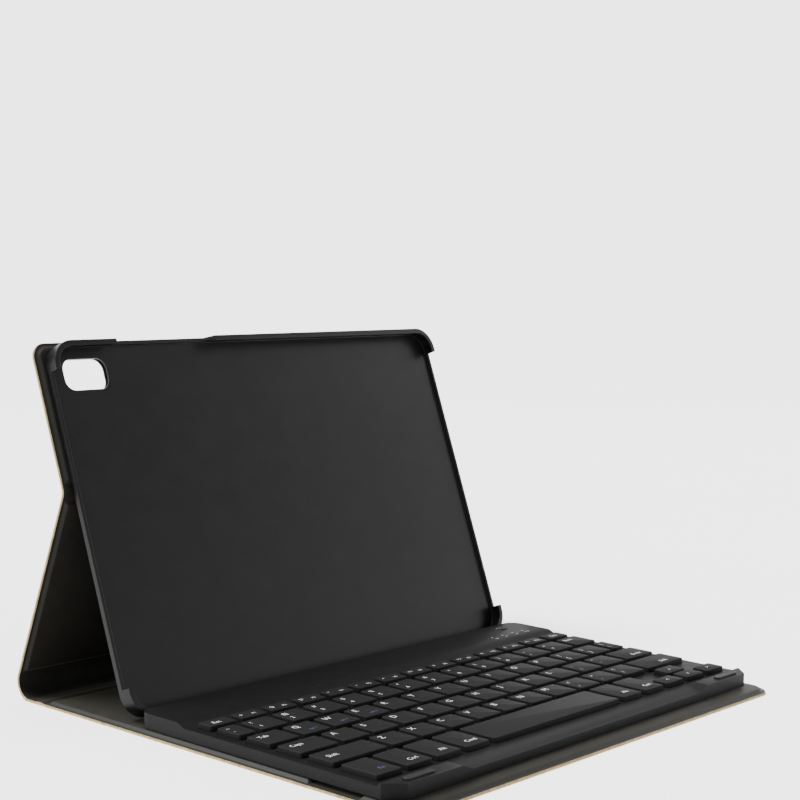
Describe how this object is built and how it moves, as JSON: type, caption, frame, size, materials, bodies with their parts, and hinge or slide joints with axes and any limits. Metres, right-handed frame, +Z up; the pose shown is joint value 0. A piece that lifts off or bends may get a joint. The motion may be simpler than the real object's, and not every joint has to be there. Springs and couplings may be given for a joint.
{
  "type": "tablet keyboard case",
  "caption": "Folding leather-look tablet case standing open as an easel, with a hard corner-grip tray and a slim detachable wireless keyboard.",
  "frame": {"origin": "the middle of the open case where it rests on the table", "axes": "+X across the case to the right of the typist, +Y from the typist to the back, +Z up"},
  "size_m": [0.256, 0.2312, 0.158],
  "materials": {
    "navy_leather": "fine grained artificial leather, satin",
    "black_lining": "smooth matt artificial leather lining",
    "greyboard": "pressed fibre board",
    "magnet": "nickel plated",
    "steel": "plain sheet steel",
    "adhesive": "clear bonding film",
    "tray_plastic": "semi-gloss black polycarbonate",
    "keyboard_plastic": "fine satin black ABS",
    "key_cap": "matt black with printed legends",
    "membrane": "translucent switch sheet with domes",
    "rubber": "matt moulded rubber",
    "battery_pouch": "foil pouch",
    "circuit_board": "solder masked laminate",
    "light_pipe": "clear moulded"
  },
  "bodies": {
    "cover": {"cover_leather": "navy_leather", "cover_board": "greyboard", "cover_lining": "black_lining", "cover_magnets": "magnet"},
    "spine": {"spine_leather": "navy_leather", "spine_lining": "black_lining"},
    "stand": {"stand_leather": "navy_leather", "stand_board": "greyboard", "stand_lining": "black_lining"},
    "upper": {"upper_leather": "navy_leather", "upper_board": "greyboard", "upper_lining": "black_lining", "keeper_plates": "steel", "tray_adhesive": "adhesive", "tray_shell": "tray_plastic"},
    "strip": {"strip_leather": "navy_leather", "strip_lining": "black_lining"},
    "flap": {"flap_leather": "navy_leather", "flap_board": "greyboard", "flap_lining": "black_lining", "flap_magnets": "magnet"},
    "keyboard": {"keyboard_top_case": "keyboard_plastic", "keyboard_bottom_case": "keyboard_plastic", "support_plate": "steel", "key_membrane": "membrane", "battery": "battery_pouch", "controller_board": "circuit_board", "charging_socket": "steel", "indicator_lights": "light_pipe", "power_switch_housing": "keyboard_plastic", "case_screws": "steel", "keyboard_magnets": "magnet", "keyboard_feet": "rubber", "front_bumpers": "rubber"},
    "power_switch": {"power_switch_knob": "keyboard_plastic"},
    "key_alt_body": {"key_alt": "key_cap"},
    "key_arrow_down_body": {"key_arrow_down": "key_cap"},
    "key_arrow_left_body": {"key_arrow_left": "key_cap"},
    "key_arrow_right_body": {"key_arrow_right": "key_cap"},
    "key_arrow_up_body": {"key_arrow_up": "key_cap"},
    "key_backspace_body": {"key_backspace": "key_cap"},
    "key_caps_lock_body": {"key_caps_lock": "key_cap"},
    "key_command_body": {"key_command": "key_cap"},
    "key_control_body": {"key_control": "key_cap"},
    "key_delete_body": {"key_delete": "key_cap"},
    "key_enter_body": {"key_enter": "key_cap"},
    "key_escape_body": {"key_escape": "key_cap"},
    "key_function_body": {"key_function": "key_cap"},
    "key_left_shift_body": {"key_left_shift": "key_cap"},
    "key_right_alt_body": {"key_right_alt": "key_cap"},
    "key_right_control_body": {"key_right_control": "key_cap"},
    "key_right_shift_body": {"key_right_shift": "key_cap"},
    "key_space_body": {"key_space": "key_cap"},
    "key_tab_body": {"key_tab": "key_cap"},
    "keys_function_body": {"keys_function": "key_cap"},
    "keys_letters_bottom_body": {"keys_letters_bottom": "key_cap"},
    "keys_letters_middle_body": {"keys_letters_middle": "key_cap"},
    "keys_letters_top_body": {"keys_letters_top": "key_cap"},
    "keys_numbers_body": {"keys_numbers": "key_cap"}
  },
  "joints": [
    {"name": "spine_fold", "type": "hinge", "parent": "cover", "child": "spine", "pos_m": [0, 0.09676, 0.00035], "axis": [-1, 0, 0], "range_deg": [0, 90]},
    {"name": "stand_fold", "type": "hinge", "parent": "spine", "child": "stand", "pos_m": [0, 0.11566, 0.00035], "axis": [-1, 0, 0], "range_deg": [0, 101]},
    {"name": "tray_fold", "type": "hinge", "parent": "stand", "child": "upper", "pos_m": [0, 0.08142, 0.09431], "axis": [1, 0, 0], "range_deg": [0, 37.52]},
    {"name": "closure_strip_fold", "type": "hinge", "parent": "cover", "child": "strip", "pos_m": [0, -0.06824, 0.00035], "axis": [-1, 0, 0], "range_deg": [0, 90.1]},
    {"name": "closure_flap_fold", "type": "hinge", "parent": "strip", "child": "flap", "pos_m": [0, -0.08514, 0.00035], "axis": [-1, 0, 0], "range_deg": [0, 90.1]},
    {"name": "keyboard_lift", "type": "slide", "parent": "cover", "child": "keyboard", "axis": [0, 0, 1], "range_m": [0, 0.16]},
    {"name": "power_switch_slide", "type": "slide", "parent": "keyboard", "child": "power_switch", "axis": [1, 0, 0], "range_m": [0, 0.002]},
    {"name": "press_alt", "type": "slide", "parent": "keyboard", "child": "key_alt_body", "axis": [0, 0, -1], "range_m": [0, 0.0009], "stiffness_N_per_m": 500},
    {"name": "press_arrow_down", "type": "slide", "parent": "keyboard", "child": "key_arrow_down_body", "axis": [0, 0, -1], "range_m": [0, 0.0009], "stiffness_N_per_m": 500},
    {"name": "press_arrow_left", "type": "slide", "parent": "keyboard", "child": "key_arrow_left_body", "axis": [0, 0, -1], "range_m": [0, 0.0009], "stiffness_N_per_m": 500},
    {"name": "press_arrow_right", "type": "slide", "parent": "keyboard", "child": "key_arrow_right_body", "axis": [0, 0, -1], "range_m": [0, 0.0009], "stiffness_N_per_m": 500},
    {"name": "press_arrow_up", "type": "slide", "parent": "keyboard", "child": "key_arrow_up_body", "axis": [0, 0, -1], "range_m": [0, 0.0009], "stiffness_N_per_m": 500},
    {"name": "press_backspace", "type": "slide", "parent": "keyboard", "child": "key_backspace_body", "axis": [0, 0, -1], "range_m": [0, 0.0009], "stiffness_N_per_m": 500},
    {"name": "press_caps_lock", "type": "slide", "parent": "keyboard", "child": "key_caps_lock_body", "axis": [0, 0, -1], "range_m": [0, 0.0009], "stiffness_N_per_m": 500},
    {"name": "press_command", "type": "slide", "parent": "keyboard", "child": "key_command_body", "axis": [0, 0, -1], "range_m": [0, 0.0009], "stiffness_N_per_m": 500},
    {"name": "press_control", "type": "slide", "parent": "keyboard", "child": "key_control_body", "axis": [0, 0, -1], "range_m": [0, 0.0009], "stiffness_N_per_m": 500},
    {"name": "press_delete", "type": "slide", "parent": "keyboard", "child": "key_delete_body", "axis": [0, 0, -1], "range_m": [0, 0.0009], "stiffness_N_per_m": 500},
    {"name": "press_enter", "type": "slide", "parent": "keyboard", "child": "key_enter_body", "axis": [0, 0, -1], "range_m": [0, 0.0009], "stiffness_N_per_m": 500},
    {"name": "press_escape", "type": "slide", "parent": "keyboard", "child": "key_escape_body", "axis": [0, 0, -1], "range_m": [0, 0.0009], "stiffness_N_per_m": 500},
    {"name": "press_function", "type": "slide", "parent": "keyboard", "child": "key_function_body", "axis": [0, 0, -1], "range_m": [0, 0.0009], "stiffness_N_per_m": 500},
    {"name": "press_left_shift", "type": "slide", "parent": "keyboard", "child": "key_left_shift_body", "axis": [0, 0, -1], "range_m": [0, 0.0009], "stiffness_N_per_m": 500},
    {"name": "press_right_alt", "type": "slide", "parent": "keyboard", "child": "key_right_alt_body", "axis": [0, 0, -1], "range_m": [0, 0.0009], "stiffness_N_per_m": 500},
    {"name": "press_right_control", "type": "slide", "parent": "keyboard", "child": "key_right_control_body", "axis": [0, 0, -1], "range_m": [0, 0.0009], "stiffness_N_per_m": 500},
    {"name": "press_right_shift", "type": "slide", "parent": "keyboard", "child": "key_right_shift_body", "axis": [0, 0, -1], "range_m": [0, 0.0009], "stiffness_N_per_m": 500},
    {"name": "press_space", "type": "slide", "parent": "keyboard", "child": "key_space_body", "axis": [0, 0, -1], "range_m": [0, 0.0009], "stiffness_N_per_m": 500},
    {"name": "press_tab", "type": "slide", "parent": "keyboard", "child": "key_tab_body", "axis": [0, 0, -1], "range_m": [0, 0.0009], "stiffness_N_per_m": 500},
    {"name": "press_row_function", "type": "slide", "parent": "keyboard", "child": "keys_function_body", "axis": [0, 0, -1], "range_m": [0, 0.0009], "stiffness_N_per_m": 6000},
    {"name": "press_row_letters_bottom", "type": "slide", "parent": "keyboard", "child": "keys_letters_bottom_body", "axis": [0, 0, -1], "range_m": [0, 0.0009], "stiffness_N_per_m": 5000},
    {"name": "press_row_letters_middle", "type": "slide", "parent": "keyboard", "child": "keys_letters_middle_body", "axis": [0, 0, -1], "range_m": [0, 0.0009], "stiffness_N_per_m": 5500},
    {"name": "press_row_letters_top", "type": "slide", "parent": "keyboard", "child": "keys_letters_top_body", "axis": [0, 0, -1], "range_m": [0, 0.0009], "stiffness_N_per_m": 6500},
    {"name": "press_row_numbers", "type": "slide", "parent": "keyboard", "child": "keys_numbers_body", "axis": [0, 0, -1], "range_m": [0, 0.0009], "stiffness_N_per_m": 6500}
  ],
  "couplings": [
    {"joint": "tray_fold", "follows": "stand_fold", "ratio": 0.37103},
    {"joint": "closure_strip_fold", "follows": "keyboard_lift", "rad_per_m": 9.8175},
    {"joint": "closure_flap_fold", "follows": "keyboard_lift", "rad_per_m": 9.8175}
  ]
}
